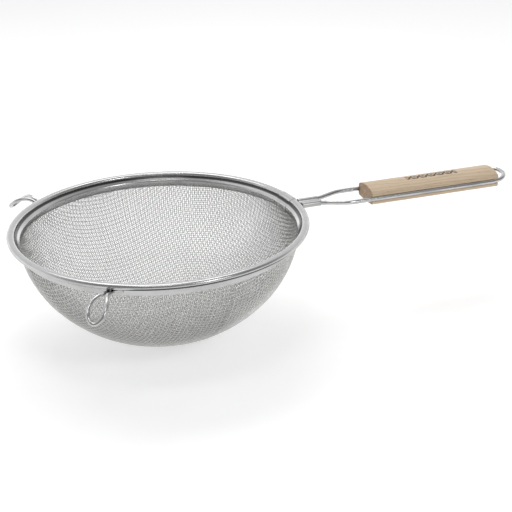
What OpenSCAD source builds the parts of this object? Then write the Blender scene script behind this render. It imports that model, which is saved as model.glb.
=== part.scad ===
// Double mesh bowl strainer with a wooden grip and two pot hooks.
// The origin is the lowest point of the bowl, on its axis. +Z is up and the handle runs along +X.

/* [Bowl] */
// Depth of the wire cloth from the rim line to its lowest point
bowl_depth = 100; // [70:1:120]
// Radius of the outside of the wire cloth at the rim line
cloth_r = 121; // [110:0.5:122]
// Fullness of the bowl, where 2 is an ellipse and more is squarer
bowl_fullness = 1.9; // [1.7:0.05:2.3]
// Thickness of the solid that stands for the fine inner wire cloth
inner_cloth_t = 0.3; // [0.25:0.05:0.6]
// Thickness of the solid that stands for the coarse outer wire cloth
outer_cloth_t = 0.4; // [0.3:0.05:0.9]
// Distance from the outside of the outer cloth to the outside of the inner one
cloth_step = 0.95; // [0.95:0.05:1.1]

/* [Rim] */
// Outside diameter of the rolled rim
rim_d = 260; // [256:1:266]
// Width of the rolled bead
bead_w = 6.8; // [6.4:0.1:8]
// Height of the rolled bead
bead_h = 5; // [4.8:0.1:5.6]
// Thickness of the rim strip
strip_t = 0.5; // [0.4:0.05:0.6]
// Diameter of the hoop of wire inside the bead
hoop_wire_d = 3.6; // [3:0.1:3.8]
// Height of the bead's middle above the rim line
bead_lift = 3; // [3:0.5:4]
// How far the inner flange reaches below the bead's middle
inner_flange_h = 8; // [7:0.5:12]
// How far the outer skirt reaches below the bead's middle
skirt_h = 10; // [9:0.5:14]
// Angle where the strip's lapped end starts, from the handle
lap_start = 3; // [2:0.5:5]
// Angle that the strip's lapped end covers
lap_sweep = 10; // [6:0.5:14]

/* [Handle] */
// Diameter of the handle wire
handle_wire_d = 4; // [3.6:0.1:4.2]
// Distance between the two legs inside the sleeve
sleeve_pitch = 10.4; // [9:0.2:12]
// Length of the crimped sleeve
sleeve_len = 18.5; // [14:0.5:22]
// Sheet thickness of the crimped sleeve
sleeve_t = 0.6; // [0.4:0.1:0.8]
// Distance from the bowl's axis to where the legs turn straight again
spread_x = 172; // [168:1:178]
// How far the hanging loop's end stands above the rest of the wire
loop_rise = 3; // [0:0.5:4]
// Distance from the wooden grip's end to the middle of the hanging loop's wire
loop_reach = 11.2; // [10:0.2:14]

/* [Grip] */
// Distance from the bowl's axis to the grip's front end
grip_x = 194.6; // [190:0.2:200]
// Length of the wooden grip
grip_len = 129; // [110:1:140]
// Width of the wooden grip
grip_w = 30.6; // [29:0.2:33]
// Height of the wire's middle above the grip's lower edges
grip_below = 5.4; // [4.5:0.1:6]
// Height of the grip's upper edges above the wire's middle
grip_above = 5.4; // [4.5:0.1:6]
// Rise of the grip's crowned top
crown_h = 3.6; // [2:0.1:4]
// Drop of the grip's slightly rounded underside
belly_h = 1; // [0.5:0.1:1.5]

/* [Hooks] */
// Diameter of the hook wire
hook_wire_d = 3.2; // [2.8:0.1:3.6]
// Angle of the front hook from the handle
front_hook_angle = -122; // [-130:1:-110]
// Angle of the rear hook from the handle
rear_hook_angle = 132; // [110:1:140]
// How far the front hook is bent down from its weld
front_hook_droop = 5; // [0:1:8]
// How far the front hook is turned sideways at its weld
front_hook_lean = -2; // [-4:1:4]

/* [Hidden] */
$fn = 96;
cloth_gap = 0.05;
rim_r = rim_d / 2;
bead_z = bowl_depth + bead_lift;
bead_mid_r = rim_r - bead_w / 2;
bead_in_r = rim_r - bead_w;
// From the inner cloth to the flange that holds it.
pocket_step = 0.65;
inner_r = cloth_r - cloth_step;
flange_r = inner_r - pocket_step;
skirt_r = cloth_r + cloth_gap;
hoop_r = rim_r - strip_t - cloth_gap - hoop_wire_d / 2;
sleeve_x = rim_r + 0.4;
sleeve_end = sleeve_x + sleeve_len;
grip_end = grip_x + grip_len;
groove_y = grip_w / 2 - 0.3;
loop_x = grip_end + loop_reach;
loop_r = groove_y - 2;

// Half of a hook's wire as [out from the weld, sideways, up from the bead's middle].
hook_half = [[-3.9, 9, -5.2], [-3.2, 4.6, -5], [0, 1.8, -4.4], [6, 1.8, -2.8], [12, 2.3, -0.6],
             [18, 4.2, 0], [24.5, 6.4, -1.8], [31, 6.6, -5.8], [35.5, 4.1, -9.8]];
hook_tip = [37.4, 0, -11.6];
hook_root_r = 127;

// A point of the bowl's outline, at a share of the way from the rim line to the bottom.
function bowl_point(r, depth, share) =
    [r * pow(cos(90 * share), 2 / bowl_fullness),
     bowl_depth - depth * pow(sin(90 * share), 2 / bowl_fullness)];

// The bowl's outline from the rim line to the axis.
function bowl_line(r, depth, steps = 36) =
    [for (i = [0:steps - 1]) bowl_point(r, depth, i / steps), [0, bowl_depth - depth]];

function reversed(list) = [for (i = [len(list) - 1:-1:0]) list[i]];

function unit(v) = v / norm(v);

// A route whose corners are replaced by bends that start at the given distance from each corner.
function bent(route, reach, steps = 5) =
    [route[0],
     for (i = [1:len(route) - 2], s = [0:steps])
         let (p = route[i],
              a = p + reach * unit(route[i - 1] - p),
              b = p + reach * unit(route[i + 1] - p),
              t = s / steps)
         (1 - t) * (1 - t) * a + 2 * t * (1 - t) * p + t * t * b,
     route[len(route) - 1]];

// A smooth curve through every point of a route.
function smooth(route, steps = 3) =
    [for (i = [0:len(route) - 2], s = [0:steps - 1])
         let (b = route[i],
              c = route[i + 1],
              a = i == 0 ? 2 * b - c : route[i - 1],
              d = i == len(route) - 2 ? 2 * c - b : route[i + 2],
              t = s / steps)
         (2 * b + (c - a) * t + (2 * a - 5 * b + 4 * c - d) * t * t
          + (3 * b - a - 3 * c + d) * t * t * t) / 2,
     route[len(route) - 1]];

// A round wire swept along a route that never points straight up.
module wire(route, d, sides = 12) {
    rings = len(route);
    points = [for (i = [0:rings - 1])
        let (ahead = unit(route[min(i + 1, rings - 1)] - route[max(i - 1, 0)]),
             side = unit(cross(ahead, [0, 0, 1])),
             up = cross(side, ahead))
        for (k = [0:sides - 1])
            route[i] + d / 2 * (cos(360 * k / sides) * side + sin(360 * k / sides) * up)];
    skin = [for (i = [0:rings - 2], k = [0:sides - 1])
        let (a = i * sides + k,
             b = i * sides + (k + 1) % sides)
        for (face = [[a, b, b + sides], [a, b + sides, a + sides]]) face];
    caps = [[for (k = [sides - 1:-1:0]) k], [for (k = [0:sides - 1]) (rings - 1) * sides + k]];
    polyhedron(points, concat(skin, caps), convexity = 10);
}

// One layer of wire cloth as a closed shell of the cloth's thickness.
module cloth_shell(r, depth, t) {
    rotate_extrude()
        polygon(concat(bowl_line(r, depth), reversed(bowl_line(r - t, depth - t))));
}

// The bead's section, a flattened round, grown or shrunk by an amount.
module bead_section(grow) {
    half = (bead_w - bead_h) / 2;
    for (side = [-1, 1])
        translate([bead_mid_r + side * half, bead_z])
            circle(r = bead_h / 2 + grow, $fn = 48);
    translate([bead_mid_r - half, bead_z - bead_h / 2 - grow])
        square([2 * half, bead_h + 2 * grow]);
}

// The two flanges that hold the cloth's edge, each a bent strip.
module flange_sections(grow) {
    polygon([[bead_in_r + 0.2, bead_z - 0.3], [bead_in_r + 0.9, bead_z - 0.9],
             [flange_r, bead_z - 4.2], [flange_r, bead_z - inner_flange_h],
             [flange_r - strip_t - grow, bead_z - inner_flange_h],
             [flange_r - strip_t - grow, bead_z - 4]]);
    polygon([[bead_in_r + 0.5, bead_z - 1.6], [bead_in_r + 1.3, bead_z - 2.1],
             [skirt_r + strip_t, bead_z - 4.4], [skirt_r + strip_t, bead_z - skirt_h],
             [skirt_r, bead_z - skirt_h], [skirt_r, bead_z - 4.2]]);
}

module inner_cloth() {
    color([0.82, 0.82, 0.81])
        cloth_shell(inner_r, bowl_depth - cloth_step, inner_cloth_t);
}

module outer_cloth() {
    color([0.68, 0.68, 0.67])
        cloth_shell(cloth_r, bowl_depth, outer_cloth_t);
}

module rim_hoop() {
    color([0.6, 0.6, 0.6])
        rotate_extrude()
            translate([hoop_r, bead_z])
                circle(d = hoop_wire_d, $fn = 48);
}

// The rolled strip, whose lapped end lies over the bead beside the handle.
module rim_strip() {
    lap_t = 0.6;
    color([0.75, 0.75, 0.74])
        union() {
            rotate_extrude()
                union() {
                    difference() {
                        bead_section(0);
                        bead_section(-strip_t);
                    }
                    flange_sections(0);
                }
            rotate([0, 0, lap_start])
                rotate_extrude(angle = lap_sweep)
                    union() {
                        difference() {
                            bead_section(lap_t);
                            bead_section(-strip_t / 2);
                        }
                        flange_sections(lap_t);
                    }
        }
}

// Spot welds that close the strip's lap, seen as small round marks inside the rim.
module lap_spot_welds() {
    spot_r = 1.6;
    spot_h = 0.35;
    color([0.55, 0.55, 0.55])
        for (share = [0.3, 0.75])
            rotate([0, 0, lap_start + share * lap_sweep])
                translate([flange_r - strip_t - 0.85, 0, bead_z - 6])
                    rotate([0, 90, 0])
                        cylinder(r = spot_r, h = spot_h);
}

// One pot hook, a loop of wire whose two feet lie along the skirt.
module hook(angle, lean, droop) {
    loop = concat([for (p = hook_half) [p[0], -p[1], p[2]]], [hook_tip], reversed(hook_half));
    color([0.78, 0.78, 0.77])
        rotate([0, 0, angle])
            translate([hook_root_r, 0, bead_z])
                rotate([0, droop, lean])
                    wire(smooth(loop), hook_wire_d, 10);
}

module hook_front() {
    hook(front_hook_angle, front_hook_lean, front_hook_droop);
}

module hook_rear() {
    hook(rear_hook_angle, 0, 0);
}

// Weld beads between each hook's feet and the underside of the bead.
module hook_welds() {
    weld_sweep = 3;
    weld_offset = 3.2;
    color([0.62, 0.61, 0.6])
        for (angle = [front_hook_angle, rear_hook_angle], side = [-1, 1])
            rotate([0, 0, angle + side * weld_offset - weld_sweep / 2])
                rotate_extrude(angle = weld_sweep)
                    translate([bead_in_r + 1.6, bead_z - bead_h / 2 - 0.9])
                        circle(r = 1.1, $fn = 32);
}

// One wire: two legs, two side grooves of the grip and the hanging loop behind it.
module handle_wire() {
    leg = [[rim_r + 0.6, sleeve_pitch / 2, 0], [sleeve_end + 0.5, sleeve_pitch / 2, 0],
           [spread_x, groove_y, 0], [loop_x - loop_r - 4, groove_y, 0]];
    nose = [for (a = [75:-15:-75])
        [loop_x - loop_r + loop_r * cos(a), (groove_y - loop_r) * sign(a) + loop_r * sin(a),
         loop_rise * cos(a)]];
    far_side = bent(leg, 5);
    near_side = [for (p = reversed(far_side)) [p[0], -p[1], p[2]]];
    color([0.8, 0.8, 0.79])
        translate([0, 0, bead_z])
            wire(concat(far_side, nose, near_side), handle_wire_d);
}

// A sheet sleeve crimped round both legs, with a valley between them.
module handle_sleeve() {
    web_h = 1.8;
    color([0.74, 0.74, 0.73])
        translate([sleeve_x, 0, bead_z])
            rotate([90, 0, 90])
                linear_extrude(sleeve_len)
                    difference() {
                        union() {
                            for (side = [-1, 1])
                                translate([side * sleeve_pitch / 2, 0])
                                    circle(d = handle_wire_d + 2 * sleeve_t, $fn = 48);
                            square([sleeve_pitch, web_h], center = true);
                        }
                        for (side = [-1, 1])
                            translate([side * sleeve_pitch / 2, 0])
                                circle(d = handle_wire_d + 0.1, $fn = 48);
                    }
}

// Weld that joins the sleeve to the underside of the rim.
module handle_weld() {
    weld_sweep = 6;
    color([0.6, 0.59, 0.58])
        rotate([0, 0, -weld_sweep / 2])
            rotate_extrude(angle = weld_sweep)
                translate([rim_r - 0.4, bead_z - bead_h / 2 - 0.6])
                    circle(r = 1.3, $fn = 32);
}

// The grip's section: crowned top, slightly rounded underside and a groove in each side.
module grip_section() {
    half = grip_w / 2;
    crown_r = (half * half + crown_h * crown_h) / (2 * crown_h);
    belly_r = (half * half + belly_h * belly_h) / (2 * belly_h);
    difference() {
        intersection() {
            translate([-half, -grip_below - belly_h])
                square([grip_w, grip_below + belly_h + grip_above + crown_h]);
            translate([0, grip_above + crown_h - crown_r])
                circle(r = crown_r, $fn = 180);
            translate([0, belly_r - grip_below - belly_h])
                circle(r = belly_r, $fn = 360);
        }
        for (side = [-1, 1])
            translate([side * groove_y, 0])
                circle(d = handle_wire_d + 0.1, $fn = 48);
    }
}

module handle_grip() {
    color([0.78, 0.69, 0.57])
        translate([grip_x, 0, bead_z])
            rotate([90, 0, 90])
                linear_extrude(grip_len)
                    grip_section();
}

inner_cloth();
outer_cloth();
rim_hoop();
rim_strip();
lap_spot_welds();
hook_front();
hook_rear();
hook_welds();
handle_wire();
handle_sleeve();
handle_weld();
handle_grip();
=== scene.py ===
"""A double mesh bowl strainer: two woven wire cloths in a rolled rim, two pot hooks and a wooden grip.

Sizes are in metres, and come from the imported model's boxes where it has them. The bowl's lowest point is
the origin, +Z is up and the handle runs along +X.
"""
import logging
import math
from collections.abc import Callable, Iterable, Sequence
from dataclasses import dataclass
from enum import Enum

import bpy
from mathutils import Matrix, Vector


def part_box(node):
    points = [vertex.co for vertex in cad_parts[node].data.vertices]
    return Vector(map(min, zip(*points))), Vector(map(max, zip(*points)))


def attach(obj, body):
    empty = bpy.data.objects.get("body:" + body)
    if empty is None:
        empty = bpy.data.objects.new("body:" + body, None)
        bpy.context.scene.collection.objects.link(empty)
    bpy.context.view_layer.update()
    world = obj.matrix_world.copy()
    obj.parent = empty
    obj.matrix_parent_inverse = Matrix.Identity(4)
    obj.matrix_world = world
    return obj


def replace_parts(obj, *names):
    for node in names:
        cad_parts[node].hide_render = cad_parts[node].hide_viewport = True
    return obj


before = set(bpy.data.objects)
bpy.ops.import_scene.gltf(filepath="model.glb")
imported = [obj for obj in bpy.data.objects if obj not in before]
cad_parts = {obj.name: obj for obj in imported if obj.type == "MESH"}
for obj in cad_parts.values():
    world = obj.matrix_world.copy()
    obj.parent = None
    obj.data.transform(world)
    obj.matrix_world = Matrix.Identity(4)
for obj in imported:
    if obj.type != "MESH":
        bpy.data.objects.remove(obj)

MM = 0.001
HAIR = 0.01 * MM
MERGE = 0.002 * MM
log = logging.getLogger("strainer")

Pair = tuple[float, float]
Triple = tuple[float, float, float]
Finish = bpy.types.Material
Piece = bpy.types.Object


class Slot(Enum):
    """The record's material slots."""

    FINE_CLOTH = "fine_cloth"
    COARSE_CLOTH = "coarse_cloth"
    STRIP = "strip"
    WIRE = "wire"
    WELD = "weld"
    GRIP_WOOD = "grip_wood"


class Plane(Enum):
    """The plane that an outline is drawn in, named by what is done with it, and the axis it turns about."""

    LATHE = (0.0, -1.0, 0.0)
    CROSS = (1.0, 0.0, 0.0)


# ---------------------------------------------------------------- shader nodes


class Value:
    """A node's output that Python's operators turn into Math nodes."""

    def __init__(self, book: "NodeBook", socket: bpy.types.NodeSocket) -> None:
        """Keeps the socket and the node tree that it belongs to."""
        self.book = book
        self.socket = socket

    def __add__(self, other: "Number") -> "Value":
        """Sum."""
        return self.book.math("ADD", self, other)

    def __radd__(self, other: float) -> "Value":
        """Sum with a number on the left."""
        return self.book.math("ADD", other, self)

    def __sub__(self, other: "Number") -> "Value":
        """Difference."""
        return self.book.math("SUBTRACT", self, other)

    def __rsub__(self, other: float) -> "Value":
        """Difference from a number on the left."""
        return self.book.math("SUBTRACT", other, self)

    def __mul__(self, other: "Number") -> "Value":
        """Product."""
        return self.book.math("MULTIPLY", self, other)

    def __rmul__(self, other: float) -> "Value":
        """Product with a number on the left."""
        return self.book.math("MULTIPLY", other, self)

    def __truediv__(self, other: "Number") -> "Value":
        """Quotient."""
        return self.book.math("DIVIDE", self, other)

    def __abs__(self) -> "Value":
        """Size without its sign."""
        return self.book.math("ABSOLUTE", self)


Number = Value | float


class NodeBook:
    """One material's node tree, written as expressions."""

    def __init__(self, name: str) -> None:
        """Starts an empty material.

        Args:
            name: The material's name.
        """
        self.material = bpy.data.materials.new(name)
        self.material.use_nodes = True
        self.tree = self.material.node_tree
        self.tree.nodes.clear()

    def node(self, kind: str, settings: dict, inputs: dict) -> bpy.types.Node:
        """Adds any node.

        Args:
            kind: The node's type.
            settings: Its own settings, set first.
            inputs: What each of its sockets, by name or place, is set to or linked from.

        Returns:
            The new node.
        """
        made = self.tree.nodes.new(kind)
        for field, value in settings.items():
            setattr(made, field, value)
        for socket, value in inputs.items():
            if isinstance(value, Value):
                self.tree.links.new(value.socket, made.inputs[socket])
            else:
                made.inputs[socket].default_value = value
        return made

    def out(self, kind: str, settings: dict, inputs: dict, output: str | int = 0) -> Value:
        """Adds a node and gives one of its outputs, by name or place."""
        return Value(self, self.node(kind, settings, inputs).outputs[output])

    def math(self, operation: str, *values: Number) -> Value:
        """Adds a Math node for an operation on these values."""
        return self.out("ShaderNodeMath", {"operation": operation}, dict(enumerate(values)))

    def place(self, stretch: Triple = (1, 1, 1), shift: Triple = (0, 0, 0),
              turn: Triple = (0, 0, 0)) -> Value:
        """Gives the object's own coordinates, stretched, turned and then shifted."""
        where = self.out("ShaderNodeTexCoord", {}, {}, "Object")
        return self.out("ShaderNodeMapping", {}, {"Vector": where, "Scale": stretch, "Location": shift,
                                                  "Rotation": turn})

    def split(self, where: Value) -> tuple[Value, Value, Value]:
        """Gives a vector's three parts."""
        parts = self.node("ShaderNodeSeparateXYZ", {}, {"Vector": where})
        return Value(self, parts.outputs[0]), Value(self, parts.outputs[1]), Value(self, parts.outputs[2])

    def join(self, x: Number, y: Number, z: Number) -> Value:
        """Gives the vector of three parts."""
        return self.out("ShaderNodeCombineXYZ", {}, {0: x, 1: y, 2: z})

    def noise(self, where: Value, scale: float, detail: float = 3.0, rough: float = 0.55) -> Value:
        """Gives noise about 0.5, with this many waves a metre and finer layers over them."""
        return self.out("ShaderNodeTexNoise", {}, {"Vector": where, "Scale": scale, "Detail": detail,
                                                   "Roughness": rough})

    def between(self, value: Value, low: float, high: float, start: float = 0.0, end: float = 1.0) -> Value:
        """Eases from start to end while a value goes from low to high."""
        return self.out("ShaderNodeMapRange", {"interpolation_type": "SMOOTHSTEP"},
                        {"Value": value, "From Min": low, "From Max": high, "To Min": start, "To Max": end})

    def mix(self, share: Number, first: Value | Triple, second: Value | Triple) -> Value:
        """Mixes a share of the second colour into the first."""
        sides = [side if isinstance(side, Value) else (*side, 1.0) for side in (first, second)]
        return self.out("ShaderNodeMix", {"data_type": "RGBA"}, {0: share, 6: sides[0], 7: sides[1]}, 2)

    def bump(self, height: Value, depth: float) -> Value:
        """Gives the normal of a surface that stands this deep where height is 1."""
        return self.out("ShaderNodeBump", {}, {"Height": height, "Distance": depth, "Strength": 1.0})

    def finish(self, inputs: dict) -> Finish:
        """Closes the material with a Principled shader.

        Args:
            inputs: Its sockets' values or links.

        Returns:
            The finished material.
        """
        shader = self.out("ShaderNodeBsdfPrincipled", {}, inputs)
        self.node("ShaderNodeOutputMaterial", {}, {"Surface": shader})
        return self.material

    def metal(self, colour: Value, gloss: Value, height: Value, depth: float) -> Finish:
        """Closes the material as bare metal with a relief this deep."""
        return self.finish({"Base Color": colour, "Metallic": 1.0, "Roughness": gloss,
                            "Normal": self.bump(height, depth)})


# ---------------------------------------------------------------- finishes


@dataclass(frozen=True)
class PolishedSheet:
    """Rolled sheet steel: rolling marks run round the rim, with faint smears, and painted shade in its
    creases.

    Between two angles from the handle, given in degrees, the painted shade under the bead climbs further up
    it as a painted dark reflection.
    """

    layout: "Layout"
    name: str = "polished_sheet"
    bright: Triple = (0.51, 0.51, 0.505)
    dull: Triple = (0.43, 0.43, 0.425)
    # near-black colour of the painted shade in the creases inside and under the bead
    painted_shade: Triple = (0.02, 0.02, 0.02)
    cool: Triple = (0.4, 0.42, 0.45)
    warm: Triple = (0.75, 0.73, 0.7)
    low_rough: float = 0.14
    high_rough: float = 0.3
    # painted dark reflection: its span of angles from the handle, in degrees, and how far up the bead it
    # climbs
    dark_reflection_from: float = -118
    dark_reflection_to: float = -35
    dark_reflection_depth: float = 1.3 * MM

    def creases(self, book: NodeBook, turn: Value, reach: Value, height: Value) -> Value:
        """Gives the painted shade in the creases inside and under the bead, from 0 to 1.

        Args:
            book: The node tree.
            turn: Angle from the handle, in degrees.
            reach: Distance from the bowl's axis.
            height: Height above the bowl's lowest point.

        Returns:
            The grime.
        """
        drop = self.layout.bead_z - height
        inner = self.layout.bead_in
        # painted shade in the crease between the bead and the inner flange
        inside = (book.between(reach, inner + 1.3 * MM, inner + 0.7 * MM)
                  * book.between(drop, -0.5 * MM, 0.3 * MM) * book.between(drop, 2.2 * MM, 1.5 * MM))
        # painted dark reflection: between the two angles the painted shade under the bead climbs higher
        dark_reflection = (book.between(turn, self.dark_reflection_from, self.dark_reflection_from + 6)
                  * book.between(turn, self.dark_reflection_to, self.dark_reflection_to - 30))
        start = drop + self.dark_reflection_depth * dark_reflection
        # painted shade in the crease under the bead
        under = (book.between(start, 1.4 * MM, 1.8 * MM)
                 * book.between(reach, inner + 0.2 * MM, inner + 1.6 * MM)
                 * book.between(reach, self.layout.rim_r + 0.5 * MM, self.layout.rim_r + 0.2 * MM))
        return book.math("MAXIMUM", inside, under)

    def build(self) -> Finish:
        """Gives the material."""
        book = NodeBook(self.name)
        x, y, z = book.split(book.place())
        reach = book.math("SQRT", x * x + y * y)
        marks = book.noise(book.join(reach, 0.0, z), 2600, 4, 0.7)
        smears = book.noise(book.place((1, 1, 3)), 38, 4, 0.6)
        specks = book.noise(book.place(), 900, 3, 0.6)
        worn = book.between(smears, 0.35, 0.7)
        colour = book.mix(worn, self.bright, self.dull)
        tinted = book.mix(0.12, colour, book.mix(specks, self.cool, self.warm))
        turn = book.math("DEGREES", book.math("ARCTAN2", y, x))
        # painted shade: the crease masks darken the sheet towards near-black
        with_painted_shade = book.mix(0.9 * self.creases(book, turn, reach, z), tinted, self.painted_shade)
        gloss = book.between(smears + 0.25 * marks, 0.4, 0.85, self.low_rough, self.high_rough)
        return book.metal(with_painted_shade, gloss, marks + 0.4 * specks, 0.012 * MM)


@dataclass(frozen=True)
class DrawnWire:
    """Bright drawn steel wire with fine die lines, small scratches and dull patches."""

    name: str = "drawn_wire"
    bright: Triple = (0.54, 0.54, 0.535)
    dull: Triple = (0.4, 0.405, 0.41)
    scratch: Triple = (0.35, 0.35, 0.36)
    low_rough: float = 0.1
    high_rough: float = 0.26

    def build(self) -> Finish:
        """Gives the material."""
        book = NodeBook(self.name)
        patches = book.noise(book.place(), 55, 4, 0.6)
        lines = book.noise(book.place((0.05, 1, 1)), 2200, 3, 0.6)
        scratches = book.noise(book.place((0.3, 1, 1), turn=(0.3, 0.5, 0.8)), 1400, 4, 0.7)
        worn = book.between(patches, 0.4, 0.72)
        colour = book.mix(worn, self.bright, self.dull)
        scored = book.mix(book.between(scratches, 0.6, 0.75, 0, 0.4), colour, self.scratch)
        gloss = book.between(patches + 0.2 * lines, 0.4, 0.8, self.low_rough, self.high_rough)
        return book.metal(scored, gloss, lines + 0.5 * scratches, 0.01 * MM)


@dataclass(frozen=True)
class ClothWire:
    """Annealed weaving wire, a little duller in patches and where the pressed bowl rubbed the die."""

    name: str
    bright: Triple
    dull: Triple
    rim_line: float
    rough: float = 0.3

    def build(self) -> Finish:
        """Gives the material."""
        book = NodeBook(self.name)
        _, _, height = book.split(book.place())
        patches = book.noise(book.place(), 24, 3, 0.6)
        strands = book.noise(book.place(), 520, 2, 0.5)
        grain = book.noise(book.place(), 5200, 2, 0.5)
        rubbed = book.between(height, 0.1 * self.rim_line, 0.9 * self.rim_line, 0.12, 0.0)
        worn = book.between(0.5 * patches + 0.5 * strands + rubbed, 0.42, 0.62)
        colour = book.mix(worn, self.bright, self.dull)
        gloss = book.between(grain + 0.4 * patches, 0.5, 0.9, self.rough - 0.06, self.rough + 0.1)
        return book.metal(colour, gloss, grain, 0.01 * MM)


@dataclass(frozen=True)
class WeldMetal:
    """Bare weld metal: rippled, pitted and tinted straw and blue by its heat."""

    name: str = "weld_metal"
    bare: Triple = (0.5, 0.49, 0.47)
    straw: Triple = (0.42, 0.35, 0.25)
    blue: Triple = (0.26, 0.28, 0.33)

    def build(self) -> Finish:
        """Gives the material."""
        book = NodeBook(self.name)
        heat = book.noise(book.place(), 420, 3, 0.5)
        pits = book.noise(book.place(), 2600, 4, 0.7)
        warm = book.mix(book.between(heat, 0.45, 0.6), self.bare, self.straw)
        colour = book.mix(book.between(heat, 0.62, 0.74), warm, self.blue)
        gloss = book.between(pits, 0.3, 0.7, 0.28, 0.55)
        return book.metal(colour, gloss, pits + 0.8 * heat, 0.09 * MM)


@dataclass(frozen=True)
class GripWood:
    """Pale plain-sawn hardwood with fine streaks, short pores, darker ends, a burnt row of cells and painted
    shade along the wire's grooves.
    """

    low: Vector
    high: Vector
    wire_z: float
    name: str = "grip_wood"
    pale: Triple = (0.65, 0.51, 0.355)
    tan: Triple = (0.53, 0.395, 0.262)
    end_tan: Triple = (0.4, 0.27, 0.175)
    pore: Triple = (0.27, 0.165, 0.1)
    char: Triple = (0.035, 0.022, 0.016)
    dark_fibre: Triple = (0.36, 0.265, 0.18)
    light_fibre: Triple = (0.58, 0.47, 0.34)
    hand_worn: Triple = (0.5, 0.4, 0.3)
    end_streak: Triple = (0.24, 0.15, 0.09)
    # colour of the painted shade along the wire's grooves
    groove_shade: Triple = (0.09, 0.065, 0.045)
    heart_drop: float = 46 * MM
    ring_gap: float = 1.9 * MM
    cell_pitch: float = 8.6 * MM
    cell_size: float = 3.3 * MM
    cell_line: float = 1.1 * MM
    cell_count: int = 6
    mark_start: float = 67 * MM

    def rings(self, book: NodeBook) -> Value:
        """Gives the growth rings' dark late wood, from 0 to 1, round a heart below the grip."""
        wander = book.noise(book.place((1.2, 6, 6)), 14, 3, 0.5)
        x, y, z = book.split(book.place(shift=(0, 0.4 * self.heart_drop, self.heart_drop - self.low.z)))
        reach = book.math("SQRT", y * y + z * z) + 0.006 * wander + 0.012 * x
        turn = book.math("FRACT", reach / self.ring_gap)
        return book.between(turn, 0.35, 0.95) * book.between(turn, 1.0, 0.95)

    def mark(self, book: NodeBook) -> Value:
        """Gives the burnt row of hexagonal cells, from 0 to 1, on the grip's top."""
        x, y, z = book.split(book.place())
        middle = (self.low.y + self.high.y) / 2 + 1.5 * MM
        along = x - (self.low.x + self.mark_start)
        across = abs(y - middle)
        cell = abs(book.math("WRAP", along, self.cell_pitch / 2, -self.cell_pitch / 2))
        hexagon = book.math("MAXIMUM", across, 0.866 * cell + 0.5 * across)
        outline = book.between(abs(hexagon - self.cell_size), self.cell_line, 0.6 * self.cell_line)
        core = book.between(hexagon, 1.5 * self.cell_line, 1.1 * self.cell_line)
        row = book.between(abs(along), (self.cell_count / 2 + 0.02) * self.cell_pitch,
                           (self.cell_count / 2) * self.cell_pitch)
        upper = book.between(z, (self.low.z + self.high.z) / 2, (self.low.z + 2 * self.high.z) / 3)
        patchy = book.between(book.noise(book.place(), 900, 3, 0.7), 0.3, 0.5, 0.75, 1.0)
        return book.math("MAXIMUM", outline, 0.8 * core) * row * upper * patchy

    def build(self) -> Finish:
        """Gives the material."""
        book = NodeBook(self.name)
        x, y, z = book.split(book.place())
        middle = (self.low.x + self.high.x) / 2
        half = (self.high.x - self.low.x) / 2
        rings = self.rings(book)
        fibres = book.noise(book.place((0.03, 1, 1)), 1500, 4, 0.65)
        bands = book.noise(book.place((0.06, 1, 1)), 260, 3, 0.5)
        pores = book.between(book.noise(book.place((0.09, 1, 1)), 2300, 2, 0.5), 0.63, 0.7)
        stain = book.noise(book.place(), 60, 4, 0.6)
        end = book.between(abs(x - middle), half - 0.5 * MM, half - 0.1 * MM)
        grain = book.mix(book.between(0.45 * rings + 0.55 * bands, 0.2, 0.75), self.pale, self.tan)
        fibre = book.mix(book.between(fibres, 0.35, 0.65), self.dark_fibre, self.light_fibre)
        fibrous = book.mix(0.22, grain, fibre)
        pored = book.mix(0.55 * pores, fibrous, self.pore)
        handled = book.mix(book.between(stain, 0.45, 0.75, 0, 0.3), pored, self.hand_worn)
        ended = book.mix(end * book.between(rings, 0.0, 1.0, 0.75, 1.0), handled, self.end_tan)
        dark_ends = book.mix(end * book.between(bands, 0.35, 0.6, 0.0, 0.55), ended, self.end_streak)
        # painted shade: darkens the wood in each side's wire groove, where the wire shades it
        groove = (book.between(abs(z - self.wire_z), 2.6 * MM, 1.9 * MM)
                  * book.between(abs(y), self.high.y - 3 * MM, self.high.y - 1.5 * MM))
        with_painted_shade = book.mix(0.85 * groove, dark_ends, self.groove_shade)
        mark = self.mark(book)
        scorched = book.mix(mark, with_painted_shade, self.char)
        rough = book.between(fibres + 0.3 * pores, 0.3, 0.9, 0.48, 0.7)
        relief = fibres - 0.7 * pores - 0.5 * mark
        return book.finish({"Base Color": scorched, "Roughness": rough, "Specular IOR Level": 0.35,
                            "Normal": book.bump(relief, 0.05 * MM)})


# ---------------------------------------------------------------- modelling tools


def enter(mode: str) -> None:
    """Enters a mode of the active object."""
    bpy.ops.object.mode_set(mode=mode)


def release() -> None:
    """Leaves edit mode and selects nothing."""
    if bpy.context.object and bpy.context.object.mode != "OBJECT":
        enter("OBJECT")
    bpy.ops.object.select_all(action="DESELECT")


def take(piece: Piece) -> None:
    """Selects one object alone and makes it the active one."""
    release()
    piece.select_set(True)
    bpy.context.view_layer.objects.active = piece


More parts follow.
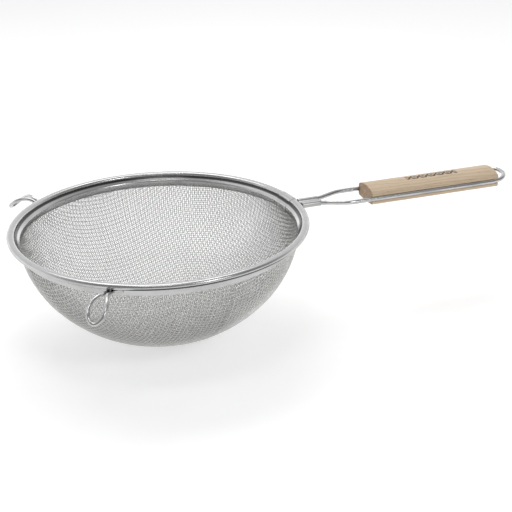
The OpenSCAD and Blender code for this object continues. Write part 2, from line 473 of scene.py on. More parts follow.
class Shaper:
    """The mesh being modelled, and the steps that shape it."""

    def __init__(self, name: str) -> None:
        """Names the object that the last primitive left active, and puts its place in its mesh.

        Args:
            name: The piece's name.
        """
        self.piece = bpy.context.object
        self.piece.name = name
        self.piece.data.name = name
        bpy.ops.object.transform_apply(location=True, rotation=True, scale=True)

    def edit(self) -> None:
        """Enters edit mode with the whole mesh selected."""
        enter("EDIT")
        bpy.ops.mesh.select_mode(type="VERT")
        bpy.ops.mesh.select_all(action="SELECT")

    def pick(self, test: Callable[[Vector], bool]) -> None:
        """Enters edit mode with only the vertices selected that pass a test.

        Args:
            test: What a vertex's place has to pass.
        """
        self.edit()
        bpy.ops.mesh.select_all(action="DESELECT")
        enter("OBJECT")
        for vertex in self.piece.data.vertices:
            vertex.select = test(vertex.co)
        enter("EDIT")

    def move(self, change: Callable[[Vector], Vector]) -> None:
        """Moves every vertex to a new place.

        Args:
            change: What gives the new place of an old one.
        """
        enter("OBJECT")
        for vertex in self.piece.data.vertices:
            vertex.co = change(vertex.co)

    def modify(self, kind: str, **settings: object) -> None:
        """Adds a modifier with these settings and applies it."""
        enter("OBJECT")
        modifier = self.piece.modifiers.new(kind.title(), kind)
        for field, value in settings.items():
            setattr(modifier, field, value)
        bpy.ops.object.modifier_apply(modifier=modifier.name)

    def soften(self, width: float, angle: float = 60.0, segments: int = 2) -> None:
        """Rounds the edges that are sharper than an angle in degrees."""
        self.modify("BEVEL", width=width, segments=segments, limit_method="ANGLE",
                    angle_limit=math.radians(angle))

    def thicken(self, thickness: float, edge: float) -> None:
        """Gives a sheet its thickness and softens its cut edges."""
        self.modify("SOLIDIFY", thickness=thickness, offset=0.0)
        self.soften(edge)

    def tidy(self) -> None:
        """Merges doubles and turns every face outwards."""
        self.edit()
        bpy.ops.mesh.remove_doubles(threshold=MERGE)
        bpy.ops.mesh.normals_make_consistent(inside=False)
        enter("OBJECT")

    def place(self, matrix: Matrix) -> None:
        """Puts the piece at a place, and the place in its mesh."""
        enter("OBJECT")
        self.piece.matrix_world = matrix
        bpy.ops.object.transform_apply(location=True, rotation=True, scale=True)

    def dress(self, material: Finish, slot: Slot, smooth: float = 35.0) -> Piece:
        """Shades the piece, gives it its material and lets it ride on the strainer.

        Args:
            material: Its material.
            slot: The record's slot that its finish stands for; it is not used.
            smooth: The largest angle between two faces, in degrees, that is shaded smooth.

        Returns:
            The finished piece.
        """
        take(self.piece)
        bpy.ops.object.shade_smooth_by_angle(angle=math.radians(smooth))
        self.piece.data.materials.clear()
        self.piece.data.materials.append(material)
        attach(self.piece, "root")
        log.info("%s: %d faces", self.piece.name, len(self.piece.data.polygons))
        release()
        return self.piece


class Outline(Shaper):
    """An outline drawn in edit mode from one vertex, with straight extrudes and spun arcs."""

    def __init__(self, name: str, plane: Plane, start: Pair, along: float = 0.0) -> None:
        """Puts down the first vertex.

        Args:
            name: The piece's name.
            plane: The plane that the outline lies in.
            start: The first point in that plane.
            along: The plane's place on the handle's axis, for a cross section.
        """
        self.plane = plane
        self.along = along
        self.tip = self.spot(start)
        release()
        bpy.ops.mesh.primitive_plane_add(size=MM, location=self.tip)
        super().__init__(name)
        self.edit()
        bpy.ops.mesh.merge(type="CENTER")

    def spot(self, point: Pair) -> Vector:
        """Gives a point of the plane as a place."""
        if self.plane is Plane.LATHE:
            return Vector((point[0], 0.0, point[1]))
        return Vector((self.along, point[0], point[1]))

    def line(self, *points: Pair) -> None:
        """Draws straight stretches to these points."""
        for point in points:
            step = self.spot(point) - self.tip
            bpy.ops.mesh.extrude_vertices_move(TRANSFORM_OT_translate={"value": step})
            self.tip = self.spot(point)

    def arc(self, centre: Pair, angle: float, steps: int) -> None:
        """Draws an arc.

        Args:
            centre: Its centre.
            angle: How far it turns, in degrees, more than 0 against the clock.
            steps: How many edges it has.
        """
        middle = self.spot(centre)
        turn = math.radians(angle)
        bpy.ops.mesh.spin(steps=steps, angle=-turn, center=middle, axis=self.plane.value)
        self.tip = middle + Matrix.Rotation(turn, 3, Vector(self.plane.value)) @ (self.tip - middle)

    def spin_round(self, angle: float, steps: int) -> None:
        """Spins the outline about the bowl's axis, by an angle in degrees."""
        self.edit()
        bpy.ops.mesh.spin(steps=steps, angle=-math.radians(angle), center=(0, 0, 0), axis=(0, 0, 1))
        self.tidy()


def joined(name: str, parts: Sequence[Piece]) -> Shaper:
    """Joins finished shapes into one piece.

    Args:
        name: The piece's name.
        parts: The shapes.

    Returns:
        The piece.
    """
    take(parts[0])
    for part in parts:
        part.select_set(True)
    bpy.ops.object.join()
    return Shaper(name)


def about_y(angle: float) -> Matrix:
    """Gives a turn about the Y axis, by an angle in degrees."""
    return Matrix.Rotation(math.radians(angle), 4, "Y")


def about_z(angle: float) -> Matrix:
    """Gives a turn about the Z axis, by an angle in degrees."""
    return Matrix.Rotation(math.radians(angle), 4, "Z")


def mirrored(points: Iterable[Vector]) -> list[Vector]:
    """Gives the places across the handle's axis from these."""
    return [Vector((place.x, -place.y, place.z)) for place in points]


def bent(route: Sequence[Vector], reach: float, steps: int = 10) -> list[Vector]:
    """Rounds a route's corners.

    Args:
        route: The route's points.
        reach: How far from each corner its bend starts.
        steps: How many stretches each bend has.

    Returns:
        The points of the rounded route.
    """
    points = [route[0]]
    for before, corner, after in zip(route, route[1:], route[2:]):
        first = corner + reach * (before - corner).normalized()
        last = corner + reach * (after - corner).normalized()
        for step in range(steps + 1):
            share = step / steps
            points.append(first.lerp(corner, share).lerp(corner.lerp(last, share), share))
    return points + [route[-1]]


def wire_along(name: str, points: Sequence[Vector], diameter: float, flowing: bool, sides: int = 6) -> Shaper:
    """Makes a round wire.

    Args:
        name: The piece's name.
        points: The points that its middle goes through.
        diameter: Its diameter.
        flowing: Whether it bends smoothly from point to point.
        sides: Half of how many sides it has, less two.

    Returns:
        The wire as a mesh.
    """
    release()
    bpy.ops.curve.primitive_bezier_curve_add(radius=MM)
    curve = bpy.context.object.data
    spline = curve.splines[0]
    spline.bezier_points.add(len(points) - 2)
    for knot, point in zip(spline.bezier_points, points):
        knot.co = point
        knot.handle_left_type = "AUTO" if flowing else "VECTOR"
        knot.handle_right_type = knot.handle_left_type
    curve.resolution_u = 8 if flowing else 1
    curve.bevel_depth = diameter / 2
    curve.bevel_resolution = sides
    curve.use_fill_caps = True
    bpy.ops.object.convert(target="MESH")
    shape = Shaper(name)
    shape.tidy()
    return shape


# ---------------------------------------------------------------- the strainer's layout


@dataclass(frozen=True)
class Layout:
    """The places that the pieces share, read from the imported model."""

    rim_line: float
    bead_z: float
    rim_r: float
    bead_w: float
    bead_h: float

    @classmethod
    def read(cls) -> "Layout":
        """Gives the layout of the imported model."""
        hoop_low, hoop_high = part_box("rim_hoop")
        _, cloth_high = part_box("outer_cloth")
        wall = 0.55 * MM
        slack_w, slack_h = 3.2 * MM, 1.4 * MM
        hoop_d = hoop_high.z - hoop_low.z
        return cls(
            rim_line=cloth_high.z,
            bead_z=(hoop_low.z + hoop_high.z) / 2,
            rim_r=hoop_high.x + wall,
            bead_w=hoop_d + slack_w,
            bead_h=hoop_d + slack_h,
        )

    @property
    def bead_mid(self) -> float:
        """Radius of the middle of the bead."""
        return self.rim_r - self.bead_w / 2

    @property
    def bead_in(self) -> float:
        """Radius of the bead's inner side."""
        return self.rim_r - self.bead_w

    @property
    def bead_under(self) -> float:
        """Height of the bead's underside."""
        return self.bead_z - self.bead_h / 2


# ---------------------------------------------------------------- woven cloth

ROUNDS = 4


class Weave(Enum):
    """The two ways that a cloth's wires run, and the side of a crossing that each takes first."""

    WARP = 1
    WEFT = -1


@dataclass(frozen=True)
class Bowl:
    """The round bowl that a cloth is pressed into, fuller than an ellipse where fullness is over 2."""

    reach: float
    depth: float
    rim_line: float
    fullness: float = 1.9

    @classmethod
    def inside(cls, node: str, rim_line: float, wire_d: float) -> "Bowl":
        """Gives the bowl that a cloth's crossings lie on, inside its packed shell."""
        low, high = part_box(node)
        return cls(high.x - wire_d, high.z - low.z - wire_d, rim_line)

    def onto(self, point: Vector) -> Vector:
        """Puts a point on the bowl, straight out from the middle of the rim line.

        Args:
            point: The point.

        Returns:
            Its place on the bowl.
        """
        sunk = self.rim_line - point.z
        out = math.hypot(point.x, point.y)
        if sunk <= 0:
            return Vector((point.x * self.reach / out, point.y * self.reach / out, point.z))
        size = (out / self.reach) ** self.fullness + (sunk / self.depth) ** self.fullness
        grow = size ** (-1 / self.fullness)
        return Vector((point.x * grow, point.y * grow, self.rim_line - sunk * grow))

    def outward(self, place: Vector) -> Vector:
        """Gives the bowl's outward direction at a place on it."""
        sunk = max(self.rim_line - place.z, 0.0)
        power = self.fullness - 1
        out = math.hypot(place.x, place.y)
        if out < HAIR:
            return Vector((0, 0, -1))
        lean = (out / self.reach) ** power / self.reach / out
        drop = (sunk / self.depth) ** power / self.depth
        return Vector((place.x * lean, place.y * lean, -drop)).normalized()


@dataclass(frozen=True)
class WovenCloth:
    """One square-woven wire cloth, pressed into the bowl without stretching its wires.

    Sides is how round its wires are, flowing wires are smooth curves, turn is the weave's angle in degrees,
    and tuck is how far below the rim line the wires end.
    """

    name: str
    node: str
    slot: Slot
    bowl: Bowl
    pitch: float
    wire_d: float
    sides: int
    flowing: bool
    turn: float
    tuck: float = 0.6 * MM

    def stepped(self, origin: Vector, guess: Vector, step: float) -> Vector:
        """Gives the point on the bowl towards a guess, one step from an origin.

        Args:
            origin: Where the step starts.
            guess: A point near where it ends.
            step: Its length.

        Returns:
            Where it ends.
        """
        place = guess
        for _ in range(ROUNDS):
            ahead = self.bowl.onto(place) - origin
            place = origin + ahead.normalized() * step
        return self.bowl.onto(place)

    def next_crossing(self, left: Vector, right: Vector, behind: Vector) -> Vector:
        """Gives the crossing that closes one mesh of the cloth.

        Args:
            left: The crossing before it on one wire.
            right: The crossing before it on the other wire.
            behind: The crossing at the mesh's far corner.

        Returns:
            The crossing, one pitch from left and right.
        """
        middle = (left + right) / 2
        side = right - left
        height = math.sqrt(max(self.pitch ** 2 - side.length_squared / 4, 0.0))
        across = side.normalized()
        place = 2 * middle - behind
        for _ in range(ROUNDS):
            ahead = self.bowl.onto(place) - middle
            ahead -= across * ahead.dot(across)
            place = middle + ahead.normalized() * height
        return self.bowl.onto(place)

    def quarter(self) -> dict[tuple[int, int], Vector]:
        """Gives the crossings of a quarter of the cloth, up to one mesh past the rim line."""
        bottom = self.bowl.onto(Vector((0, 0, -self.bowl.rim_line)))
        net = {(0, 0): bottom}
        for axis in (Vector((1, 0, 0)), Vector((0, 1, 0))):
            place = bottom
            ahead = axis * self.pitch
            count = 0
            while place.z < self.bowl.rim_line:
                after = self.stepped(place, place + ahead, self.pitch)
                ahead = after - place
                place = after
                count += 1
                net[(count, 0) if axis.x else (0, count)] = place
        span = max(max(key) for key in net)
        for i in range(1, span + 1):
            for j in range(1, span + 1):
                around = [net.get((i - 1, j)), net.get((i, j - 1)), net.get((i - 1, j - 1))]
                if None not in around and around[2].z < self.bowl.rim_line:
                    net[i, j] = self.next_crossing(*around)
        return net

    def wires(self, net: dict[tuple[int, int], Vector], weave: Weave) -> Piece:
        """Makes the wires that run one way.

        Args:
            net: The crossings of a quarter of the cloth.
            weave: Which way they run.

        Returns:
            The wires as one piece.
        """
        span = max(max(key) for key in net)
        release()
        bpy.ops.mesh.primitive_grid_add(x_subdivisions=2 * span + 1, y_subdivisions=2 * span + 1, size=2)
        shape = Shaper(f"{self.name}_{weave.name.lower()}")
        enter("EDIT")
        bpy.ops.mesh.delete(type="ONLY_FACE")
        enter("OBJECT")
        mesh = shape.piece.data
        cells = [(round(vertex.co.x * span), round(vertex.co.y * span)) for vertex in mesh.vertices]
        swing = (2.0 if self.flowing else 1.0) * weave.value * self.wire_d / 2
        for vertex, (i, j) in zip(mesh.vertices, cells):
            place = net.get((abs(i), abs(j)))
            if place:
                place = Vector((math.copysign(place.x, i), math.copysign(place.y, j), place.z))
                side = 1 if (i + j) % 2 else -1
                vertex.co = place + self.bowl.outward(place) * swing * side
        along = 0 if weave is Weave.WARP else 1
        enter("EDIT")
        bpy.ops.mesh.select_mode(type="EDGE")
        bpy.ops.mesh.select_all(action="DESELECT")
        enter("OBJECT")
        for edge in mesh.edges:
            first, last = (cells[index] for index in edge.vertices)
            edge.select = first[along] == last[along]
        enter("EDIT")
        bpy.ops.mesh.delete(type="EDGE")
        bpy.ops.mesh.select_mode(type="VERT")
        enter("OBJECT")
        for vertex, (i, j) in zip(mesh.vertices, cells):
            vertex.select = (abs(i), abs(j)) not in net
        enter("EDIT")
        bpy.ops.mesh.delete(type="VERT")
        enter("OBJECT")
        return self.drawn(shape.piece)

    def drawn(self, lines: Piece) -> Piece:
        """Turns bare lines into round wires, cut off inside the rim.

        Args:
            lines: A mesh of bare lines.

        Returns:
            The wires as a mesh.
        """
        name = lines.name
        bpy.ops.object.convert(target="CURVE")
        curve = bpy.context.object.data
        if self.flowing:
            enter("EDIT")
            bpy.ops.curve.select_all(action="SELECT")
            bpy.ops.curve.spline_type_set(type="NURBS")
            enter("OBJECT")
            for spline in curve.splines:
                spline.order_u = 3
                spline.use_endpoint_u = True
                spline.resolution_u = 2
        curve.resolution_u = 2
        curve.bevel_depth = self.wire_d / 2
        curve.bevel_resolution = self.sides
        bpy.ops.object.convert(target="MESH")
        shape = Shaper(name)
        shape.place(about_z(self.turn))
        shape.edit()
        bpy.ops.mesh.bisect(plane_co=(0, 0, self.bowl.rim_line - self.tuck), plane_no=(0, 0, 1),
                            clear_outer=True)
        enter("OBJECT")
        return shape.piece

    def build(self, material: Finish) -> None:
        """Makes the cloth's warp and weft, smooth all over."""
        net = self.quarter()
        for weave in Weave:
            lines = self.wires(net, weave)
            take(lines)
            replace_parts(Shaper(lines.name).dress(material, self.slot, 180), self.node)


# ---------------------------------------------------------------- rim


@dataclass(frozen=True)
class RolledRim:
    """The sheet strip rolled over a hoop, with an inner flange, an outer skirt and a spot-welded lap."""

    layout: Layout
    sheet: float = 0.5 * MM
    flange_r: float = 119.15 * MM
    flange_drop: float = 8 * MM
    skirt_r: float = 121.3 * MM
    skirt_drop: float = 10 * MM
    lap_start: float = 3.0
    lap_sweep: float = 10.0
    lap_grow: float = 0.6 * MM
    lap_press: float = 0.35
    spots: tuple[float, ...] = (3.7, 8.6)
    spot_r: float = 1.5 * MM
    spot_t: float = 0.5 * MM
    spot_drop: float = 6.2 * MM
    flange_fold: float = 4.8 * MM
    flange_bend: float = 2 * MM
    flange_lean: float = 46.0
    crease_turn: float = 196.0
    skirt_fold: float = 4.6 * MM
    skirt_bend: float = 0.9 * MM

    def outline(self, name: str, grow: float) -> Outline:
        """Draws the strip's section from the flange's edge over the bead to the skirt's edge.

        Args:
            name: The piece's name.
            grow: How far the section stands off the strip's own.

        Returns:
            The outline.
        """
        z = self.layout.bead_z
        round_r = (self.layout.bead_h - self.sheet) / 2 + grow
        half = (self.layout.bead_w - self.layout.bead_h) / 2
        inner, outer = self.layout.bead_mid - half, self.layout.bead_mid + half
        flange_r = self.flange_r - grow
        pen = Outline(name, Plane.LATHE, (flange_r, z - self.flange_drop))
        pen.line((flange_r, z - self.flange_fold))
        pen.arc((flange_r + self.flange_bend, z - self.flange_fold), -self.flange_lean, 5)
        crease = math.radians(self.crease_turn)
        pen.line((inner + round_r * math.cos(crease), z + round_r * math.sin(crease)))
        pen.arc((inner, z), 90 - self.crease_turn, 12)
        pen.line((outer, z + round_r))
        pen.arc((outer, z), -180, 18)
        pen.line((inner - 0.4 * MM, z - round_r))
        skirt_r = self.skirt_r + grow
        pen.line((skirt_r + self.skirt_bend, z - self.skirt_fold + self.skirt_bend))
        pen.arc((skirt_r + self.skirt_bend, z - self.skirt_fold), 90, 4)
        pen.line((skirt_r, z - 0.7 * self.skirt_drop), (skirt_r, z - self.skirt_drop))
        return pen

    def strip(self, material: Finish) -> None:
        """Makes the rolled strip."""
        shape = self.outline("rim_strip_rolled", 0.0)
        shape.spin_round(360, 240)
        shape.thicken(self.sheet, 0.12 * MM)
        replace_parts(shape.dress(material, Slot.STRIP), "rim_strip")

    def lap(self, material: Finish) -> None:
        """Makes the strip's end that lies over its start, pressed down at both edges."""
        shape = self.outline("rim_strip_lap", self.lap_grow)
        shape.spin_round(self.lap_sweep, 18)
        edges = (0.01, math.radians(self.lap_sweep) - 0.01)
        shape.pick(lambda co: not edges[0] < math.atan2(co.y, co.x) < edges[1])
        bpy.ops.transform.shrink_fatten(value=-self.lap_press * self.lap_grow)
        shape.thicken(self.sheet, 0.15 * MM)
        shape.place(about_z(self.lap_start))
        shape.dress(material, Slot.STRIP)

    def spot(self, angle: float) -> Piece:
        """Makes one spot weld, a dimple with a raised ring, on the lap's inner side.

        Args:
            angle: Its place from the handle, in degrees.

        Returns:
            The weld.
        """
        release()
        bpy.ops.mesh.primitive_cylinder_add(vertices=32, radius=self.spot_r, depth=self.spot_t)
        shape = Shaper("spot")
        shape.pick(lambda co: co.z > 0)
        bpy.ops.mesh.select_mode(type="FACE")
        bpy.ops.mesh.inset(thickness=0.35 * MM)
        bpy.ops.mesh.inset(thickness=0.25 * MM)
        bpy.ops.transform.translate(value=(0, 0, -0.22 * MM))
        bpy.ops.mesh.inset(thickness=0.4 * MM)
        bpy.ops.transform.translate(value=(0, 0, 0.08 * MM))
        shape.soften(0.08 * MM, 30)
        reach = self.flange_r - self.lap_grow - self.sheet / 2
        seat = Matrix.Translation((reach, 0, self.layout.bead_z - self.spot_drop))
        shape.place(about_z(angle) @ seat @ about_y(-90))
        return shape.piece

    def build(self, sheet: Finish, wire: Finish, weld: Finish) -> None:
        """Makes the rim's pieces.

        Args:
            sheet: The strip's material.
            wire: The hoop's material.
            weld: The spot welds' material.
        """
        self.strip(sheet)
        self.lap(sheet)
        spots = joined("lap_spots", [self.spot(self.lap_start + angle) for angle in self.spots])
        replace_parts(spots.dress(weld, Slot.WELD), "lap_spot_welds")
        redress("rim_hoop", wire)


def redress(node: str, material: Finish) -> None:
    """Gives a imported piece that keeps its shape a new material."""
    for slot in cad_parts[node].material_slots:
        slot.material = material
    log.info("%s: new finish", node)


def weld_bead(length: float, width: float, seed: int) -> Shaper:
    """Makes a lumpy bead of weld metal along Y.

    Args:
        length: Its length.
        width: Its width.
        seed: What its lumps are drawn from.

    Returns:
        The bead at the origin.
    """
    release()
    bpy.ops.mesh.primitive_uv_sphere_add(segments=20, ring_count=14, radius=width / 2)
    shape = Shaper("weld_bead")
    shape.edit()
    bpy.ops.transform.resize(value=(1, length / width, 0.85), center_override=(0, 0, 0))
    bpy.ops.transform.vertex_random(offset=0.16 * width, seed=seed)
    bpy.ops.mesh.vertices_smooth(factor=0.6, repeat=2)
    shape.modify("SUBSURF", levels=1, render_levels=1)
    return shape


# ---------------------------------------------------------------- hooks


@dataclass(frozen=True)
class PotHook:
    """A loop of wire that rests on a pot's rim, its two feet welded under the bead."""

    name: str
    node: str
    layout: Layout
    angle: float
    lean: float
    droop: float
    wire_d: float = 3.2 * MM
    root_r: float = 127 * MM
    tip: Triple = (37.4 * MM, 0.0, -11.6 * MM)
    foot_turn: float = 3.2
    weld_len: float = 6.5 * MM
    weld_w: float = 2.6 * MM
    weld_in: float = 1.5 * MM
    weld_drop: float = 0.9 * MM
    weld_seed: int = 7

    def half(self) -> list[Vector]:
        """Gives half of the wire's route as places out, sideways and up from the bead's middle."""
        spots = ((-3.9, 9, -5.2), (-3.2, 4.6, -5), (0, 1.8, -4.4), (6, 1.8, -2.8), (12, 2.3, -0.6),
                 (18, 4.2, 0), (24.5, 6.4, -1.8), (31, 6.6, -5.8), (35.5, 4.1, -9.8))
        return [Vector(spot) * MM for spot in spots]

    def seat(self) -> Matrix:
        """Gives the hook's place on the rim."""
        root = Matrix.Translation((self.root_r, 0, self.layout.bead_z))
        return about_z(self.angle) @ root @ about_z(self.lean) @ about_y(self.droop)

    def build(self, wire: Finish) -> None:
        """Makes the hook's wire."""
        half = self.half()
        route = mirrored(half) + [Vector(self.tip)] + half[::-1]
        shape = wire_along(self.name, route, self.wire_d, True)
        shape.place(self.seat())
        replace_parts(shape.dress(wire, Slot.WIRE, 60), self.node)

    def welds(self) -> list[Piece]:
        """Makes the two weld beads between the feet and the underside of the bead."""
        beads = []
        seat = Matrix.Translation((self.layout.bead_in + self.weld_in, 0,
                                   self.layout.bead_under - self.weld_drop))
        for number, side in enumerate((-1, 1)):
            bead = weld_bead(self.weld_len, self.weld_w, self.weld_seed + number)
            bead.place(about_z(self.angle + self.foot_turn * side) @ seat)
            beads.append(bead.piece)
        return beads


# ---------------------------------------------------------------- handle


@dataclass(frozen=True)
class HandleWire:
    """The handle's one wire: two legs, two sides along the grip and the hanging loop behind it."""

    layout: Layout
    wire_d: float = 4 * MM
    leg_y: float = 5.2 * MM
    side_y: float = 15 * MM
    spread_x: float = 172 * MM
    bend: float = 6 * MM
    loop_rise: float = 3 * MM
    loop_straight: float = 4 * MM
    nose_turn: int = 75
    nose_step: int = 10

    def build(self, wire: Finish) -> None:
        """Makes the wire."""
        low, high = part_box("handle_wire")
        sleeve_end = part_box("handle_sleeve")[1].x
        loop_x = high.x - self.wire_d / 2
        loop_r = self.side_y - 2 * MM
        z = self.layout.bead_z
        leg = [Vector((low.x, self.leg_y, z)), Vector((sleeve_end + 0.5 * MM, self.leg_y, z)),
               Vector((self.spread_x, self.side_y, z)),
               Vector((loop_x - loop_r - self.loop_straight, self.side_y, z))]
        nose = []
        for step in range(self.nose_turn, -self.nose_turn - 1, -self.nose_step):
            turn = math.radians(step)
            side = math.copysign(self.side_y - loop_r, turn)
            nose.append(Vector((loop_x - loop_r + loop_r * math.cos(turn), side + loop_r * math.sin(turn),
                                z + self.loop_rise * math.cos(turn))))
        far_side = bent(leg, self.bend)
        route = far_side + nose + mirrored(reversed(far_side))
        shape = wire_along("handle_wire_bent", route, self.wire_d, False, 8)
        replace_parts(shape.dress(wire, Slot.WIRE, 60), "handle_wire")


@dataclass(frozen=True)
class CrimpedSleeve:
    """A sheet sleeve pressed round both legs of the wire, with a valley between them."""

    layout: Layout
    sheet: float = 0.6 * MM
    leg_y: float = 5.2 * MM
    leg_d: float = 4 * MM
    rings: int = 10
    gap: float = 0.5 * MM
    corner: float = 2.5 * MM
    draw_back: float = 1.4 * MM
    weld_len: float = 5.4 * MM
    weld_w: float = 2.7 * MM
    weld_gap: float = 4.4 * MM
    weld_drop: float = 0.5 * MM
    weld_seed: int = 21

    def build(self, sheet: Finish, weld: Finish) -> None:
        """Makes the sleeve and the weld that joins it to the rim.

        Args:
            sheet: The sleeve's material.
            weld: The weld's material.
        """
        low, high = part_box("handle_sleeve")
        z = self.layout.bead_z
        round_r = (self.leg_d + self.sheet) / 2
        shoulder = round_r * math.cos(math.radians(30))
        valley = [(1.6 * MM, 0.55 * MM), (2.5 * MM, 0.8 * MM)]
        pen = Outline("handle_sleeve_crimped", Plane.CROSS, (0, z + self.gap), low.x)
        pen.line(*((side, z + rise) for side, rise in valley), (self.leg_y - shoulder, z + 0.5 * round_r))
        pen.arc((self.leg_y, z), -300, 24)
        pen.line(*((side, z - rise) for side, rise in reversed(valley)), (0, z - self.gap))
        pen.modify("MIRROR", use_axis=(False, True, False))
        pen.edit()
        step = (high.x - low.x) / self.rings
        for _ in range(self.rings):
            bpy.ops.mesh.extrude_region_move(TRANSFORM_OT_translate={"value": (step, 0, 0)})
        pen.tidy()
        corner = high.x - self.corner

        def eased(place: Vector) -> Vector:
            """Gives a point of the sleeve's end with its outer corners drawn back."""
            past = max(place.x - corner, 0.0) / (high.x - corner)
            out = max(abs(place.y) - self.leg_y, 0.0) / round_r
            return Vector((place.x - self.draw_back * past * out * out, place.y, place.z))

        pen.move(eased)
        pen.thicken(self.sheet, 0.14 * MM)
        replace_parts(pen.dress(sheet, Slot.STRIP), "handle_sleeve")
        beads = []
        for number, side in enumerate((-1, 0, 1)):
            bead = weld_bead(self.weld_len, self.weld_w, self.weld_seed + number)
            bead.place(Matrix.Translation((self.layout.rim_r - 0.5 * MM, side * self.weld_gap,
                                           self.layout.bead_under - self.weld_drop)))
            beads.append(bead.piece)
        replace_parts(joined("handle_weld_bead", beads).dress(weld, Slot.WELD, 60), "handle_weld")


@dataclass(frozen=True)
class WoodGrip:
    """The wooden grip: crowned above, nearly flat below, grooved along both sides for the wire."""

    layout: Layout
    crown: float = 3.6 * MM
    belly: float = 1.0 * MM
    edge: float = 5.4 * MM
    groove_d: float = 4.1 * MM
    groove_y: float = 15 * MM
    top_ease: float = 2.3 * MM
    bottom_ease: float = 1.5 * MM
    end_ease: float = 0.6 * MM

    def build(self, wood: Finish) -> None:
        """Makes the grip."""
        low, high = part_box("handle_grip")
        z = self.layout.bead_z
        half = (high.y - low.y) / 2
        crown_r = (half * half + self.crown ** 2) / (2 * self.crown)
        belly_r = (half * half + self.belly ** 2) / (2 * self.belly)
        groove_r = self.groove_d / 2
        lip = math.acos((half - self.groove_y) / groove_r)
        top, bottom = z + self.edge + self.crown, z - self.edge - self.belly
        pen = Outline("handle_grip_wood", Plane.CROSS, (0, top), low.x)
        pen.arc((0, top - crown_r), -math.degrees(math.asin(half / crown_r)), 10)
        pen.line((half, z + groove_r * math.sin(lip)))
        pen.arc((self.groove_y, z), 360 - 2 * math.degrees(lip), 12)
        pen.line((half, z - self.edge))
        pen.arc((0, bottom + belly_r), -math.degrees(math.asin(half / belly_r)), 4)
        for corner, width in ((z + self.edge, self.top_ease), (z - self.edge, self.bottom_ease)):
            pen.pick(lambda co: abs(co.y - half) < 5 * HAIR and abs(co.z - corner) < 5 * HAIR)
            bpy.ops.mesh.bevel(offset=width, segments=5, affect="VERTICES")
        pen.modify("MIRROR", use_axis=(False, True, False))
        pen.edit()
        bpy.ops.mesh.remove_doubles(threshold=MERGE)
        bpy.ops.mesh.select_all(action="SELECT")
        bpy.ops.mesh.edge_face_add()
        bpy.ops.mesh.extrude_region_move(TRANSFORM_OT_translate={"value": (high.x - low.x, 0, 0)})
        pen.tidy()
        pen.soften(self.end_ease, 50, 3)
        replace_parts(pen.dress(wood, Slot.GRIP_WOOD), "handle_grip")


# ---------------------------------------------------------------- stage


@dataclass(frozen=True)
class Softbox:
    """A soft rectangular light: where it hangs, its width and height, and its power in watts."""

    place: Triple
    size: Pair
    power: float

    def hang(self, aim: Vector) -> None:
        """Hangs the light so that it faces a point."""
        bpy.ops.object.light_add(type="AREA", location=self.place)
        light = bpy.context.object
        light.data.shape = "RECTANGLE"
        light.data.size, light.data.size_y = self.size
        light.data.energy = self.power
        light.rotation_euler = (aim - Vector(self.place)).to_track_quat("-Z", "Y").to_euler()


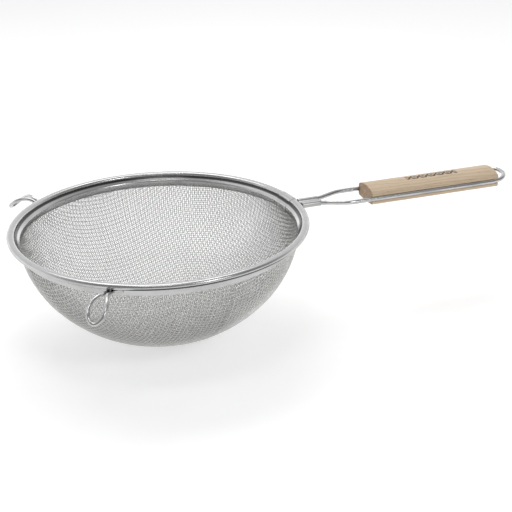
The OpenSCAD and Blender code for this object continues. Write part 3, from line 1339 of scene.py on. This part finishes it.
@dataclass(frozen=True)
class Studio:
    """The pale floor, the soft lights and the camera."""

    aim: Vector
    over_back: Softbox = Softbox((0.0, 0.6, 1.3), (1.2, 0.6), 5.5)
    front_right: Softbox = Softbox((0.5, -1.1, 0.9), (0.35, 0.35), 3)
    over_front: Softbox = Softbox((-0.15, -0.45, 1.35), (0.5, 0.25), 1.5)
    floor_glow: float = 0.22
    horizon: float = 0.9
    ceiling: float = 0.55
    front_strength: float = 0.6
    back_strength: float = 1.9
    azimuth: float = 18.72
    elevation: float = 23.966
    roll: float = -1.2125
    distance: float = 0.994987
    right: float = 0.083116
    up: float = -0.029383
    focal: float = 80.86

    def camera(self) -> None:
        """Makes the camera, which looks down on the bowl with the handle to the right."""
        turn, rise, roll = (math.radians(angle) for angle in (self.azimuth, self.elevation, self.roll))
        across = Vector((math.cos(turn), -math.sin(turn), 0))
        level = Vector((math.sin(turn), math.cos(turn), 0))
        upward = level * math.sin(rise) + Vector((0, 0, math.cos(rise)))
        ahead = level * math.cos(rise) - Vector((0, 0, math.sin(rise)))
        side = across * math.cos(roll) + upward * math.sin(roll)
        top = upward * math.cos(roll) - across * math.sin(roll)
        bpy.ops.object.camera_add(location=self.aim + self.right * across + self.up * upward
                                  - self.distance * ahead)
        camera = bpy.context.object
        camera.rotation_euler = Matrix((side, top, -ahead)).transposed().to_euler()
        camera.data.sensor_width = 36
        camera.data.lens = self.focal
        camera.data.clip_start = 0.01
        bpy.context.scene.camera = camera

    def floor(self) -> None:
        """Makes the plain pale floor."""
        bpy.ops.mesh.primitive_plane_add(size=14, location=(0, 0, -0.4 * MM))
        floor = bpy.context.object
        floor.name = "floor"
        book = NodeBook("pale_floor")
        cloudy = book.noise(book.place(), 3, 2, 0.5)
        colour = book.mix(cloudy, (0.93, 0.93, 0.93), (0.96, 0.96, 0.96))
        floor.data.materials.append(book.finish({"Base Color": colour, "Roughness": 0.8,
                                                 "Specular IOR Level": 0.1, "Emission Color": (1, 1, 1, 1),
                                                 "Emission Strength": self.floor_glow}))

    def surround(self) -> None:
        """Makes the walls' light: brightest behind the bowl and at the horizon, greyer above and in front."""
        world = bpy.data.worlds.new("studio_walls")
        world.use_nodes = True
        bpy.context.scene.world = world
        nodes, links = world.node_tree.nodes, world.node_tree.links
        where = nodes.new("ShaderNodeTexCoord")
        parts = nodes.new("ShaderNodeSeparateXYZ")
        ramp = nodes.new("ShaderNodeValToRGB")
        ramp.color_ramp.interpolation = "EASE"
        ramp.color_ramp.elements[0].position = 0.02
        ramp.color_ramp.elements[0].color = (self.horizon, self.horizon, self.horizon, 1)
        ramp.color_ramp.elements[1].position = 1.0
        ramp.color_ramp.elements[1].color = (self.ceiling, self.ceiling, self.ceiling, 1)
        ramp.color_ramp.elements.new(0.42).color = (0.5, 0.5, 0.51, 1)
        links.new(where.outputs["Generated"], parts.inputs[0])
        links.new(parts.outputs[2], ramp.inputs[0])
        links.new(ramp.outputs[0], nodes["Background"].inputs["Color"])
        back = nodes.new("ShaderNodeMapRange")
        back.interpolation_type = "SMOOTHSTEP"
        for field, value in (("From Min", -0.35), ("From Max", 0.55), ("To Min", self.front_strength),
                             ("To Max", self.back_strength)):
            back.inputs[field].default_value = value
        links.new(parts.outputs[1], back.inputs["Value"])
        links.new(back.outputs[0], nodes["Background"].inputs["Strength"])

    def build(self) -> None:
        """Makes the stage."""
        release()
        bpy.context.scene.view_settings.view_transform = "Standard"
        self.camera()
        self.floor()
        self.surround()
        for box in (self.over_back, self.front_right, self.over_front):
            box.hang(self.aim)
        release()


def main() -> None:
    """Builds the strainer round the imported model, piece by piece."""
    logging.basicConfig(level=logging.INFO, format="%(message)s")
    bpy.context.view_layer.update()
    layout = Layout.read()
    Studio(aim=Vector((0, 0, layout.bead_z))).build()

    sheet = PolishedSheet(layout).build()
    pressed = PolishedSheet(layout, "pressed_sheet", bright=(0.44, 0.44, 0.435), dull=(0.37, 0.37, 0.365),
                            low_rough=0.26, high_rough=0.42).build()
    wire = DrawnWire().build()
    weld = WeldMetal().build()
    fine = ClothWire("fine_cloth_wire", bright=(0.4, 0.4, 0.39), dull=(0.31, 0.31, 0.302),
                     rim_line=layout.rim_line).build()
    coarse = ClothWire("coarse_cloth_wire", bright=(0.78, 0.78, 0.76), dull=(0.66, 0.66, 0.645),
                       rim_line=layout.rim_line).build()
    wood = GripWood(*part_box("handle_grip"), layout.bead_z).build()

    fine_d, coarse_d = 0.38 * MM, 0.5 * MM
    WovenCloth("fine_cloth", "inner_cloth", Slot.FINE_CLOTH,
               Bowl.inside("inner_cloth", layout.rim_line, fine_d),
               pitch=1.9 * MM, wire_d=fine_d, sides=0, flowing=False, turn=-31).build(fine)
    WovenCloth("coarse_cloth", "outer_cloth", Slot.COARSE_CLOTH,
               Bowl.inside("outer_cloth", layout.rim_line, coarse_d),
               pitch=3.8 * MM, wire_d=coarse_d, sides=1, flowing=True, turn=14).build(coarse)
    RolledRim(layout).build(sheet, wire, weld)
    hooks = (PotHook("hook_front_wire", "hook_front", layout, angle=-122, lean=-2, droop=5),
             PotHook("hook_rear_wire", "hook_rear", layout, angle=132, lean=0, droop=0))
    for hook in hooks:
        hook.build(wire)
    beads = joined("hook_weld_beads", [bead for hook in hooks for bead in hook.welds()])
    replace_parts(beads.dress(weld, Slot.WELD, 60), "hook_welds")
    HandleWire(layout).build(wire)
    CrimpedSleeve(layout).build(pressed, weld)
    WoodGrip(layout).build(wood)


if __name__ == "__main__":
    main()
